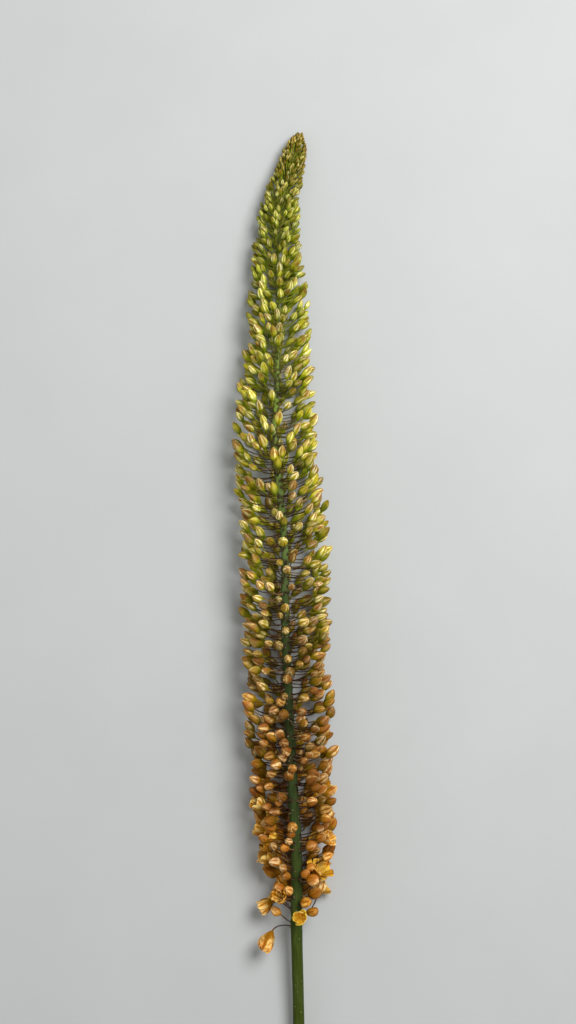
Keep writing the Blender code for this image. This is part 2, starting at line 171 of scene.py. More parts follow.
class Pile:
    # gathers many small bodies and their marks into one piece
    def __init__(self):
        self.points, self.quads, self.fans, self.marks, self.size = [], [], [], {}, 0

    def add(self, sections, marks, tips=None):
        points, quads, fans = tubes(sections, tips)
        self.points.append(points)
        self.quads.append(quads + self.size)
        self.fans.append(fans + self.size)
        for name, values in marks.items():
            values = np.broadcast_to(values, sections.shape[:3])
            self.marks.setdefault(name, []).append(withEnds(values).reshape(-1))
        self.size += len(points)

    def make(self, name, material, nodes, slot, sharp=50):
        mesh = bpy.data.meshes.new(name)
        points = np.concatenate(self.points)
        points[:, 2] = np.maximum(points[:, 2], lowest)
        faces = np.concatenate(self.quads).tolist() + np.concatenate(self.fans).tolist()
        mesh.from_pydata((points * mm).tolist(), [], faces)
        for mark, values in self.marks.items():
            layer = mesh.attributes.new(mark, "FLOAT", "POINT")
            layer.data.foreach_set("value", np.concatenate(values).astype(np.float32))
        mesh.shade_smooth()
        mesh.set_sharp_from_angle(angle=math.radians(sharp))
        mesh.materials.append(material)
        piece = addObject(name, mesh)
        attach(piece, "root")
        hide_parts(*nodes)
        triangles = sum(len(face) - 2 for face in faces)
        print("made", name, "with", triangles, "triangles")


def ringsAlong(centres, directions, side, radius, around):
    # round rings: centres and directions are bodies x rings x 3, side is bodies x 3
    side = side[:, None, :]
    side = unit(side - dots(side, directions) * directions)
    over = np.cross(directions, side)
    angles = 2 * math.pi * np.arange(around) / around
    radius = np.broadcast_to(radius, centres.shape[:2])[:, :, None, None]
    return centres[:, :, None] + radius * roundFrom(angles, side[:, :, None], over[:, :, None])


# where each floret grows
raceme = {
    "seed": 7,
    "fromTip": (0, 4, 10, 24, 40, 70, 100, 150, 180, 210, 280, 350, 420, 490, 525, 552),
    "reach": (1.2, 4.4, 7.4, 9.6, 11.9, 15.6, 19.4, 23.2, 26.8, 29.4, 31.0, 31.2, 31.0, 29.6, 22.0, 16.0),
    "budLength": (3.2, 3.3, 3.6, 4.4, 5.6, 7.8, 9.4, 10.5, 10.9, 11.0, 11.0, 11.0, 10.8, 10.6, 10.6, 10.6),
    "budWidth": (1.8, 1.9, 2.0, 2.4, 2.8, 3.6, 4.1, 4.5, 4.8, 5.0, 5.4, 5.9, 6.2, 6.5, 6.8, 7.0),
    "stalkRise": (76, 70, 62, 54, 45, 35, 26, 20, 17, 14, 10, 8, 8, 12, 24, 34),
    "budRise": (86, 80, 70, 60, 54, 47, 43, 41, 40, 40, 38, 36, 34, 34, 42, 50),
    "perMm": (6.0, 5.6, 5.0, 4.0, 3.3, 2.6, 2.27, 2.1, 2.08, 2.05, 1.95, 1.85, 1.8, 1.74, 1.36, 0.7),
    "countingSteps": 4000,
    "firstBud": 0.2,
    "lastBud": 552.0,
    "goldenAngle": math.radians(137.508),
    "straySize": 0.19,
    "strayWidth": 0.07,
    "strayTurn": math.radians(16),
    "strayRise": (math.radians(15), math.radians(30)),  # at the tip and at the lowest buds
    "strayReach": (0.08, 0.2),
    "strayInOut": (-1.0, 0.6),  # a bud strays further in than out
    "strayPlace": 2.2,
    "calmTip": (60.0, 0.2),  # nearer the tip than this buds stray less, down to this share
    "strayRoot": 2.6,
    "lowestRoot": 563.0,
    "leastAcross": 0.3,
    "facesUp": ((230.0, 360.0), (0.0, 0.6)),  # how much flatter the upper buds stand off the stem
    "bareBeside": 0.92,  # the top of the stem, by how far round it is
    # how many buds are missing there, by place
    "bareShare": ((110.0, 190.0, 280.0, 430.0, 460.0), (0.0, 0.28, 0.42, 0.5, 0.72)),
    "opensShare": ((430.0, 460.0, 500.0, 552.0), (0.0, 0.18, 0.36, 0.5)),  # how many are half open
    "opensBeside": 0.5,  # but none whose root is this far round to the top of the stem
    "opens": (0.12, 0.42),
    "curls": (-0.5, 0.3),
    "golden": ((0.12, 0.42), (0.93, 0.97)),  # how golden a floret is by how far it's open
    "flowerWidth": 0.6,
    "flowerShade": (0.45, 0.85),
    "clearRound": 7.5,  # no bud's tip this close to the middle of a placed flower
    "ripeAt": 590.0,
    "stretches": {
        "upper": (185.0, "buds_green"),
        "middle": (352.0, "buds_bronze"),
        "lower": (566.0, "buds_orange"),
    },
}
# open flowers: root from the tip, foot from the stem there, the way they face, length, opening,
# how far the tips of their tepals curl out, and how golden they are
openFlowers = (
    (557.0, (1.5, 4.0, 9.5), (0.1, 0.25, 0.95), 10.5, 0.52, -0.5, 1.0),
    (555.0, (14.5, 16.0, 2.0), (0.25, 0.95, 0.15), 12.0, 0.12, -0.2, 0.93),
    (530.0, (13.0, 5.0, 6.0), (0.42, 0.8, 0.35), 13.5, 0.58, 0.3, 0.98),
    (548.0, (-9.0, 7.0, 8.0), (-0.3, 0.45, 0.7), 11.5, 0.28, 0.0, 0.95),
    (561.0, (-17.0, -3.0, 1.5), (-0.4, -0.88, 0.1), 15.5, 0.14, -0.5, 0.92),
    (541.0, (-16.0, -2.0, -2.0), (-0.75, -0.45, -0.1), 12.5, 0.3, -0.1, 0.95),
    (522.0, (-16.0, 8.0, 3.0), (-0.72, 0.62, 0.25), 12.5, 0.4, 0.2, 0.97),
    (545.0, (12.5, 6.0, -7.0), (0.75, 0.55, -0.15), 12.0, 0.4, 0.1, 0.97),
    (536.0, (-3.0, 9.0, -9.5), (-0.25, 0.93, -0.1), 11.0, 0.3, 0.0, 0.95),
)
settling = {
    "steps": 60,
    "springBack": 0.05,
    "push": 0.3,
    "lift": 0.7,
    "flowerLoose": 0.15,
    "balls": ((0.25, 0.24), (0.55, 0.42), (0.8, 0.3)),
    "near": 14.0,
    "gap": 0.15,
    "pressed": 0.5,
    "lowTip": 2.5,
    "lowFoot": 8.0,
    "lyingFoot": 0.4,
    "lyingShare": 0.25,
    "shortest": 0.7,
    "longest": 1.06,
    "footHeight": 0.6,
    "tipHeight": 0.4,
}


def growFlorets():
    rng = np.random.default_rng(raceme["seed"])
    fine = np.linspace(raceme["firstBud"], raceme["lastBud"], raceme["countingSteps"])
    counted = np.cumsum(np.interp(fine, raceme["fromTip"], raceme["perMm"])) * (fine[1] - fine[0])
    count = int(counted[-1])
    place = np.interp(np.arange(count) + 0.5, counted, fine)

    def stray():
        return rng.uniform(-1, 1, count)

    def here(name):
        return np.interp(place, raceme["fromTip"], raceme[name])

    calmTo, calmest = raceme["calmTip"]
    place += stray() * raceme["strayPlace"] * np.clip(place / calmTo, calmest, 1)
    turn = raceme["goldenAngle"] * np.arange(count) + stray() * raceme["strayTurn"]
    size = 1 + stray() * raceme["straySize"]
    length = here("budLength") * size
    width = here("budWidth") * size * (1 + rng.uniform(-raceme["strayWidth"], raceme["strayWidth"], count))
    lowness = place / raceme["lastBud"]
    rise = np.radians(here("budRise")) + stray() * np.interp(lowness, (0, 1), raceme["strayRise"])
    rise *= 1 - np.maximum(np.sin(turn), 0) * np.interp(place, *raceme["facesUp"])
    inOut = rng.uniform(*raceme["strayInOut"], count)
    reach = here("reach") * (1 + inOut * np.interp(lowness, (0, 1), raceme["strayReach"]))

    towardsTip, right, up = frameAt(place)
    out = roundFrom(turn, right, up)
    facing = roundFrom(rise, out, towardsTip)
    riseOfBud = 0.5 * length * np.sin(rise)
    tip = middleAt(place) + reach[:, None] * out + riseOfBud[:, None] * towardsTip
    foot = tip - length[:, None] * facing
    across = np.maximum(reach - length * np.cos(rise) - radiusAt(place), raceme["leastAcross"])
    back = riseOfBud + across * np.tan(np.radians(here("stalkRise")))
    root = place + back + stray() * raceme["strayRoot"] * lowness
    root = np.minimum(root, raceme["lowestRoot"])

    columns = [np.array(column) for column in zip(*openFlowers)]
    flowerRoot, flowerFoot, flowerFacing, flowerLength, flowerOpening, flowerCurl, _ = columns
    flowerFoot = middleAt(flowerRoot) + flowerFoot
    flowerTip = flowerFoot + flowerLength[:, None] * unit(flowerFacing)
    middles = (flowerFoot + 2 * flowerTip) / 3
    clear = np.linalg.norm(tip[:, None] - middles[None], axis=2).min(axis=1) > raceme["clearRound"]
    above = np.sin(turn) > raceme["bareBeside"]
    clear &= ~(above & (rng.random(count) < np.interp(place, *raceme["bareShare"])))
    opens = rng.random(count) < np.interp(place, *raceme["opensShare"])
    opens &= np.sin(turn) < raceme["opensBeside"]
    opening = np.where(opens, rng.uniform(*raceme["opens"], count), 0.0)
    width = np.where(opens, length * raceme["flowerWidth"] * (1 + opening), width)
    curl = rng.uniform(*raceme["curls"], count)
    grown, placed = int(clear.sum()), len(openFlowers)

    def both(ofGrown, ofPlaced):
        return np.concatenate([ofGrown[clear], ofPlaced])

    return {
        "root": both(root, flowerRoot),
        "place": both(place, flowerRoot),
        "foot": both(foot, flowerFoot),
        "tip": both(tip, flowerTip),
        "width": both(width, flowerLength * raceme["flowerWidth"] * (1 + flowerOpening)),
        "opening": both(opening, flowerOpening),
        "curl": both(curl, flowerCurl),
        "loose": both(np.ones(count), np.full(placed, settling["flowerLoose"])),
        "shade": np.append(rng.random(grown), rng.uniform(*raceme["flowerShade"], placed)),
        "spin": rng.uniform(0, 2 * math.pi, grown + placed),
    }


def settleFlorets(florets):
    # pushes the florets off the surface and off each other, their stalks bending to follow
    root, foot, tip, width = (florets[name] for name in ("root", "foot", "tip", "width"))
    start = middleAt(root)
    footHome, tipHome = foot.copy(), tip.copy()
    length = np.linalg.norm(tip - foot, axis=1)
    stalk = np.linalg.norm(foot - start, axis=1)
    loose = florets["loose"]
    balls = settling["balls"]
    owner = np.repeat(np.arange(len(root)), len(balls))
    share = np.tile([ball[0] for ball in balls], len(root))[:, None]
    radius = np.tile([ball[1] for ball in balls], len(root)) * width[owner]
    centre = foot[owner] * (1 - share) + tip[owner] * share
    first, second = np.triu_indices(len(owner), 1)
    near = np.abs(centre[first, 1] - centre[second, 1]) < settling["near"]
    first, second = first[near], second[near]
    near = np.linalg.norm(centre[first] - centre[second], axis=1) < settling["near"]
    near &= owner[first] != owner[second]
    first, second = first[near], second[near]
    apart = radius[first] + radius[second] + settling["gap"]

    for _ in range(settling["steps"]):
        foot += settling["springBack"] * (footHome - foot)
        tip += settling["springBack"] * (tipHome - tip)
        centre = foot[owner] * (1 - share) + tip[owner] * share
        offset = centre[first] - centre[second]
        distance = np.linalg.norm(offset, axis=1)
        short = np.maximum(apart - distance, 0) * settling["push"]
        move = offset / np.maximum(distance, 1e-6)[:, None] * short[:, None]
        push = np.zeros_like(centre)
        np.add.at(push, first, move * loose[owner[first]][:, None])
        np.add.at(push, second, -move * loose[owner[second]][:, None])
        push[:, 2] += np.maximum(radius - settling["pressed"] - centre[:, 2], 0) * settling["lift"]
        np.add.at(foot, owner, push * (1 - share))
        np.add.at(tip, owner, push * share)
        low = (tip[:, 2] < settling["lowTip"]) & (foot[:, 2] < settling["lowFoot"])
        lying = settling["lyingShare"] * (settling["lyingFoot"] * width - foot[:, 2])
        foot[:, 2] += np.where(low, lying, 0)
        foot[:, 2] = np.maximum(foot[:, 2], settling["footHeight"])
        tip[:, 2] = np.maximum(tip[:, 2], settling["tipHeight"])
        centreOfBud = (foot + tip) / 2
        half = unit(tip - foot) * length[:, None] / 2
        foot, tip = centreOfBud - half, centreOfBud + half
        drift = foot - start
        far = np.linalg.norm(drift, axis=1)
        wanted = np.clip(far, settling["shortest"] * stalk, settling["longest"] * stalk)
        shift = drift * (wanted / np.maximum(far, 1e-6) - 1)[:, None]
        foot, tip = foot + shift, tip + shift
    florets["foot"], florets["tip"] = foot, tip


florets = growFlorets()
settleFlorets(florets)
florets["facing"] = unit(florets["tip"] - florets["foot"])
florets["stretch"] = np.searchsorted([end for end, _ in raceme["stretches"].values()], florets["root"])
isOpen = florets["opening"] > 0
florets["ripe"] = np.clip(florets["place"] / raceme["ripeAt"], 0, 1)
florets["ripe"][isOpen] = np.interp(florets["opening"][isOpen], *raceme["golden"])
florets["ripe"][-len(openFlowers):] = [flower[-1] for flower in openFlowers]
print("placed", int(np.sum(~isOpen)), "buds and", int(np.sum(isOpen)), "open flowers")


def makeByStretch(ending, material, addTo, sharp=50):
    # one piece of such bodies for each stretch of the spike
    for number, (stretch, (_, slot)) in enumerate(raceme["stretches"].items()):
        pile = Pile()
        addTo(pile, florets["stretch"] == number)
        pile.make(stretch + ending, material, ["raceme_" + stretch], slot, sharp)


# node helpers: a socket's id_data is the tree it's in
grainSpan = (0.3, 0.7)  # where most of a noise's values lie


def plug(source, socket):
    # source is a number, a colour or another node's output
    if isinstance(source, bpy.types.NodeSocket):
        socket.id_data.links.new(source, socket)
    elif socket.type == "RGBA":
        socket.default_value = (*source, 1.0)
    else:
        socket.default_value = source


def addNode(tree, kind, output, inputs, **settings):
    node = tree.nodes.new(kind)
    for name, value in settings.items():
        setattr(node, name, value)
    for name, value in inputs.items():
        plug(value, node.inputs[name])
    return node.outputs[output]


def newMaterial(name, *marks):
    # with its shader, the place in the object, and the marks of the mesh
    material = bpy.data.materials.new(name)
    material.use_nodes = True
    tree = material.node_tree
    place = addNode(tree, "ShaderNodeTexCoord", "Object", {})
    reads = [addNode(tree, "ShaderNodeAttribute", "Fac", {}, attribute_name=mark) for mark in marks]
    return material, tree.nodes["Principled BSDF"], place, *reads


def doMath(operation, a, b=0.0):
    return addNode(a.id_data, "ShaderNodeMath", 0, {0: a, 1: b}, operation=operation)


def times(a, b):
    return doMath("MULTIPLY", a, b)


def plus(a, b):
    return doMath("ADD", a, b)


def remap(value, low, high, toLow=0.0, toHigh=1.0, smooth=True):
    inputs = {"Value": value, "From Min": low, "From Max": high, "To Min": toLow, "To Max": toHigh}
    kind = "SMOOTHSTEP" if smooth else "LINEAR"
    return addNode(value.id_data, "ShaderNodeMapRange", "Result", inputs, interpolation_type=kind)


def mixColours(factor, a, b):
    inputs = {"Factor": factor, "A": a, "B": b}
    return addNode(factor.id_data, "ShaderNodeMix", "Result", inputs, data_type="RGBA")


def lay(skin, value, span, colour):
    # a colour over the skin where the value is within its span
    return mixColours(remap(value, *span), skin, colour)


def colourRamp(value, stops):
    node = value.id_data.nodes.new("ShaderNodeValToRGB")
    ramp = node.color_ramp
    while len(ramp.elements) < len(stops):
        ramp.elements.new(1.0)
    for element, (place, *colour) in zip(ramp.elements, stops):
        element.position = place
        element.color = (*colour, 1.0)
    plug(value, node.inputs["Fac"])
    return node.outputs["Color"]


def noiseAt(vector, scale, detail=2.0, roughness=0.5):
    inputs = {"Vector": vector, "Scale": scale, "Detail": detail, "Roughness": roughness}
    return addNode(vector.id_data, "ShaderNodeTexNoise", "Fac", inputs)


def joinVector(x, y, z):
    return addNode(x.id_data, "ShaderNodeCombineXYZ", "Vector", {"X": x, "Y": y, "Z": z})


def dress(shader, look, colour, grain, relief):
    # the grain is what the roughness follows, the relief what stands out
    strength, depth = look["bump"]
    bump = {"Strength": strength, "Distance": depth, "Height": relief}
    inputs = {
        "Base Color": colour,
        "Roughness": remap(grain, *grainSpan, *look["roughness"]),
        "Normal": addNode(relief.id_data, "ShaderNodeBump", "Normal", bump),
        "Specular IOR Level": look["gloss"],
    }
    for name, value in inputs.items():
        plug(value, shader.inputs[name])


# skin of the buds and open flowers
petalLook = {
    # colours from the tip of the spike (0) to the open flowers (1)
    "base": (
        (0.0, 0.12, 0.13, 0.003), (0.1, 0.14, 0.2, 0.003), (0.24, 0.17, 0.27, 0.004),
        (0.45, 0.2, 0.28, 0.005), (0.62, 0.18, 0.18, 0.003), (0.78, 0.2, 0.11, 0.002),
        (0.92, 0.24, 0.1, 0.002), (0.975, 0.52, 0.26, 0.006), (1.0, 0.8, 0.5, 0.02),
    ),
    "body": (
        (0.0, 0.2, 0.14, 0.006), (0.05, 0.17, 0.17, 0.003), (0.12, 0.28, 0.33, 0.006),
        (0.24, 0.51, 0.53, 0.014), (0.45, 0.53, 0.49, 0.015), (0.62, 0.26, 0.18, 0.004),
        (0.78, 0.35, 0.13, 0.003), (0.92, 0.49, 0.2, 0.003), (0.975, 0.6, 0.35, 0.026),
        (1.0, 1.0, 0.8, 0.08),
    ),
    "tip": (
        (0.0, 0.28, 0.12, 0.01), (0.09, 0.2, 0.16, 0.008), (0.28, 0.33, 0.2, 0.022),
        (0.45, 0.35, 0.165, 0.036), (0.6, 0.3, 0.12, 0.028), (0.75, 0.32, 0.11, 0.016),
        (0.92, 0.46, 0.145, 0.004), (0.975, 0.8, 0.36, 0.012), (1.0, 0.96, 0.66, 0.07),
    ),
    "margin": (
        (0.0, 0.7, 0.64, 0.28), (0.1, 0.82, 0.84, 0.4), (0.24, 0.98, 0.99, 0.7), (0.5, 1.0, 0.95, 0.62),
        (0.68, 0.8, 0.64, 0.35), (0.9, 0.9, 0.69, 0.39), (0.975, 0.98, 0.8, 0.34), (1.0, 1.0, 0.88, 0.34),
    ),
    "blush": (
        (0.0, 0.46, 0.38, 0.1), (0.1, 0.62, 0.66, 0.17), (0.24, 0.8, 0.84, 0.34), (0.5, 0.8, 0.71, 0.27),
        (0.68, 0.63, 0.43, 0.13), (0.9, 0.8, 0.49, 0.13), (0.975, 0.92, 0.58, 0.08), (1.0, 1.0, 0.8, 0.18),
    ),
    "keel": (
        (0.0, 0.13, 0.05, 0.004), (0.24, 0.17, 0.07, 0.005), (0.5, 0.16, 0.048, 0.004),
        (0.74, 0.14, 0.03, 0.003), (0.92, 0.18, 0.04, 0.003), (0.975, 0.28, 0.085, 0.004),
        (1.0, 0.5, 0.22, 0.012),
    ),
    # scales of the noises, then their detail and roughness
    "blotches": (260.0, 3.0),
    "patches": (420.0, 2.0),
    "veins": (5.0, 3.0, 0.6),
    "veinStretch": (5.0, 1.6, 40.0),  # across and along a tepal, and from floret to floret
    "otherDraw": 7.31,  # the fraction of the shade times this is another random share
    "warmDraw": 13.7,
    "tipRipens": 0.25,
    "innerDark": 0.14,
    "meetingFewer": 1.2,
    "keelThins": 0.08,
    # the next are ranges for remap(): from these two, to these two or else to 0 and 1
    "waver": (0.3, 0.7, -0.12, 0.12),
    "strayGreen": (0.0, 1.0, 0.16, -0.2),
    "bodyAlong": (0.15, 0.62),
    "tipAlong": (0.66, 1.00),
    "tipShare": (0.1, 0.9, 0.55, 0.95),
    "creamNarrows": (0.45, 0.75, 0.14, 0.0),  # by how ripe a floret is
    "meetingAlong": (0.62, 0.95),  # where the cream edges of ripe tepals meet
    "meetingRipe": (0.45, 0.7, 0.0, 0.15),
    "creamAcross": (0.16, 0.42),
    "creamAlong": (0.24, 0.56),
    "creamPatch": (0.34, 0.6, 0.25, 1.0),
    "creamFewer": (0.5, 0.85, 0.0, 0.2),
    "creamShare": (0.1, 0.8, 0.08, 0.95),
    "creamInner": (0.0, 1.0, 1.0, 0.45),
    "keelRipe": (0.2, 0.9, 0.85, 1.4),
    "keelWaver": (0.3, 0.7, -0.08, 0.08),
    "keelWidth": (0.0, 0.19, 1.0, 0.0),
    "keelAlong": (0.2, 0.6, 0.1, 0.9),
    "keelInner": (0.0, 1.0, 1.0, 0.15),
    "keelTepal": (0.0, 0.8, 1.0, 0.7),
    "veinShare": (0.42, 0.62, 0.0, 0.28),
    "shading": (0.0, 1.0, 0.62, 1.28),
    "tepalShading": (0.0, 1.0, 0.78, 1.22),
    "roughness": (0.42, 0.62),
    "bump": (0.35, 0.0002),
    "gloss": 0.09,
    "glow": {"Weight": 0.16, "Radius": (1.0, 0.4, 0.06), "Scale": 0.001},
}


def petalMaterial():
    look = petalLook
    marks = ("ripe", "along", "across", "shade", "inner", "tepal")
    material, shader, place, ripe, along, across, shade, inner, tepal = newMaterial("petals", *marks)
    base, body, tip, margin, blush, dark = (
        colourRamp(ripe, look[name]) for name in ("base", "body", "tip", "margin", "blush", "keel")
    )

    def part(value, name, smooth=True):
        return remap(value, *look[name], smooth=smooth)

    blotch, patch = noiseAt(place, *look["blotches"]), noiseAt(place, *look["patches"])
    sizes = zip((across, along, shade), look["veinStretch"])
    stretched = joinVector(*(times(mark, size) for mark, size in sizes))
    veins = noiseAt(stretched, *look["veins"])
    other = doMath("FRACT", times(shade, look["otherDraw"]))
    wavered = plus(along, part(blotch, "waver"))
    greener = doMath("SUBTRACT", wavered, part(other, "strayGreen"))
    skin = lay(base, greener, look["bodyAlong"], body)
    ripened = plus(greener, times(ripe, look["tipRipens"]))
    browner = times(part(other, "tipShare"), part(ripened, "tipAlong"))
    skin = mixColours(browner, skin, tip)
    skin = mixColours(times(inner, look["innerDark"]), skin, dark)

    meeting = times(part(along, "meetingAlong"), part(ripe, "meetingRipe"))
    edge = doMath("SUBTRACT", across, part(ripe, "creamNarrows"))
    edge = plus(edge, meeting)
    fewer = doMath("SUBTRACT", tepal, part(ripe, "creamFewer"))
    fewer = plus(fewer, times(meeting, look["meetingFewer"]))
    cream = times(part(edge, "creamAcross"), part(wavered, "creamAlong"))
    for value, name in ((patch, "creamPatch"), (fewer, "creamShare"), (inner, "creamInner")):
        cream = times(cream, part(value, name))
    warmer = doMath("FRACT", times(shade, look["warmDraw"]))
    skin = mixColours(cream, skin, mixColours(warmer, margin, blush))

    widening = times(across, part(ripe, "keelRipe"))
    widening = doMath("SUBTRACT", widening, times(along, look["keelThins"]))
    widening = plus(widening, part(patch, "keelWaver"))
    keel = part(widening, "keelWidth")
    for value, name in ((wavered, "keelAlong"), (inner, "keelInner"), (tepal, "keelTepal")):
        keel = times(keel, part(value, name))
    skin = mixColours(keel, skin, dark)
    skin = lay(skin, veins, look["veinShare"], dark)
    darker = times(part(shade, "shading", False), part(tepal, "tepalShading", False))
    darken = {"Factor": 1.0, "A": skin, "B": joinVector(darker, darker, darker)}
    skin = addNode(skin.id_data, "ShaderNodeMix", "Result", darken, data_type="RGBA", blend_type="MULTIPLY")
    dress(shader, look, skin, blotch, veins)
    for name, value in look["glow"].items():
        shader.inputs["Subsurface " + name].default_value = value
    return material


petalSkin = petalMaterial()


# buds
budForm = {
    "seed": 31,
    "along": (0.0, 0.06, 0.15, 0.27, 0.41, 0.55, 0.68, 0.8, 0.9, 0.96),
    "slim": (0.15, 0.24, 0.42, 0.7, 0.93, 1.0, 0.94, 0.75, 0.47, 0.25),
    "full": (0.14, 0.3, 0.58, 0.88, 1.0, 0.98, 0.86, 0.65, 0.4, 0.2),
    "outerHalf": (60, 60, 59, 58, 56, 53, 49, 44, 39, 35),  # degrees from an outer tepal's keel to its edge
    "outerAt": (-1.0, -0.5, 0.0, 0.5, 1.0),
    "innerAt": (-0.7, 0.0, 0.7),
    "outerTrim": 0.92,
    "keelRidge": (0.035, 0.1),  # of green buds and of ripe ones
    "outerEdge": (0.0, 0.04),
    "innerSunk": (0.02, 0.09),  # at its foot and at its tip
    "innerLow": (0.7, 0.5),  # the edge and the ridge of an inner tepal, as shares of an outer one's
    "uneven": (0.14, 0.12),  # how far the keels and the widths of the outer tepals stray
    "parting": 0.45,  # how far the tips of ripe outer tepals stand off
    # where each begins and how much it takes, by ripeness and along the bud
    "fillsRipe": (0.33, 0.4),
    "partsRipe": (0.55, 0.4),
    "partsAlong": (0.6, 0.3),
    "sinksAlong": (0.4, 0.5),
    "twist": 0.18,
    "lean": 0.06,
    "tinyLength": 8.2,  # shorter buds have only some of the rings
    "tinyRings": [0, 2, 4, 6, 8, 9],
}


def budRings(ripe, rng):
    # angle, bulge, distance from the keel and whether it's an inner tepal, for each bud, ring and point
    form = budForm
    count = len(ripe)
    t = np.array(form["along"])[None, :, None, None]
    turn = 2 * math.pi / 3 * np.arange(3) + rng.uniform(-1, 1, (count, 3)) * form["uneven"][0]
    wider = 1 + rng.uniform(-1, 1, (count, 3)) * form["uneven"][1]
    half = np.radians(form["outerHalf"])[None, :, None] * wider[:, None, :] * form["outerTrim"]
    turn = np.broadcast_to(turn[:, None, :], half.shape)
    outer, inner = np.array(form["outerAt"]), np.array(form["innerAt"])
    right = turn + half
    left = np.roll(turn - half, -1, axis=2)
    left[:, :, 2] += 2 * math.pi
    gap = (left - right)[..., None]
    angle = np.concatenate([
        turn[..., None] + outer * half[..., None],
        right[..., None] + gap * (0.5 + 0.5 * inner),
    ], axis=3)
    ripe = ripe[:, None, None, None]
    parted = rng.uniform(0, form["parting"], (count, 1, 3, 1)) * growing(ripe, *form["partsRipe"])
    fuller = growing(ripe, *form["fillsRipe"])
    ridge, edge = between(form["keelRidge"], fuller), between(form["outerEdge"], fuller)
    outerBulge = 1 + ridge * (outer == 0) - edge * np.abs(outer) ** 0.5
    outerBulge = outerBulge + parted * growing(t, *form["partsAlong"])
    sunk = between(form["innerSunk"], growing(t, *form["sinksAlong"]))
    edgeShare, ridgeShare = form["innerLow"]
    innerBulge = 1 - sunk - edge * edgeShare + ridge * ridgeShare * (inner == 0)
    innerBulge = np.broadcast_to(innerBulge, (*angle.shape[:3], len(inner)))
    bulge = np.concatenate([outerBulge, innerBulge], axis=3)
    across = np.concatenate([np.abs(outer), np.abs(inner)])
    isInner = np.repeat((0.0, 1.0), (len(outer), len(inner)))
    tepal = np.repeat(rng.random((count, 6)), (len(outer), len(inner)) * 3, axis=1)
    shape = (*angle.shape[:2], -1)
    return angle.reshape(shape), bulge.reshape(shape), np.tile(across, 3), np.tile(isInner, 3), tepal


def addBuds(pile, grown):
    form = budForm
    chosen = grown & ~isOpen
    names = ("foot", "tip", "facing", "width", "ripe", "shade", "spin")
    foot, tip, facing, width, ripe, shade, spin = (florets[name][chosen] for name in names)
    length = np.linalg.norm(tip - foot, axis=1)
    t = np.array(form["along"])
    angle, bulge, across, inner, tepal = budRings(ripe, np.random.default_rng(form["seed"]))
    full = growing(ripe, *form["fillsRipe"])[:, None]
    profile = (1 - full) * np.array(form["slim"]) + full * np.array(form["full"])
    angles = spin[:, None, None] + form["twist"] * t[None, :, None] + angle
    radius = (width / 2)[:, None, None] * profile[:, :, None] * bulge

    level = unit(np.cross(facing, (0.0, 0.0, 1.0)))
    over = np.cross(facing, level)
    leaning = form["lean"] * length[:, None] * np.sin(math.pi * t)[None, :] * np.cos(spin * 3)[:, None]
    centres = foot[:, None] + (length[:, None] * t)[:, :, None] * facing[:, None]
    centres += leaning[:, :, None] * level[:, None]
    outward = roundFrom(angles, level[:, None, None], over[:, None, None])
    sections = centres[:, :, None] + radius[..., None] * outward
    marks = {
        "ripe": ripe[:, None, None],
        "shade": shade[:, None, None],
        "along": t[None, :, None],
        "across": across,
        "inner": inner,
        "tepal": tepal[:, None, :],
    }
    for tiny, rings in ((False, slice(None)), (True, form["tinyRings"])):
        those = (length < form["tinyLength"]) == tiny
        if those.any():
            kept = {
                name: np.broadcast_to(values, sections.shape[:3])[those][:, rings]
                for name, values in marks.items()
            }
            pile.add(sections[those][:, rings], kept, tips=tip[those])


makeByStretch("Buds", petalSkin, addBuds)


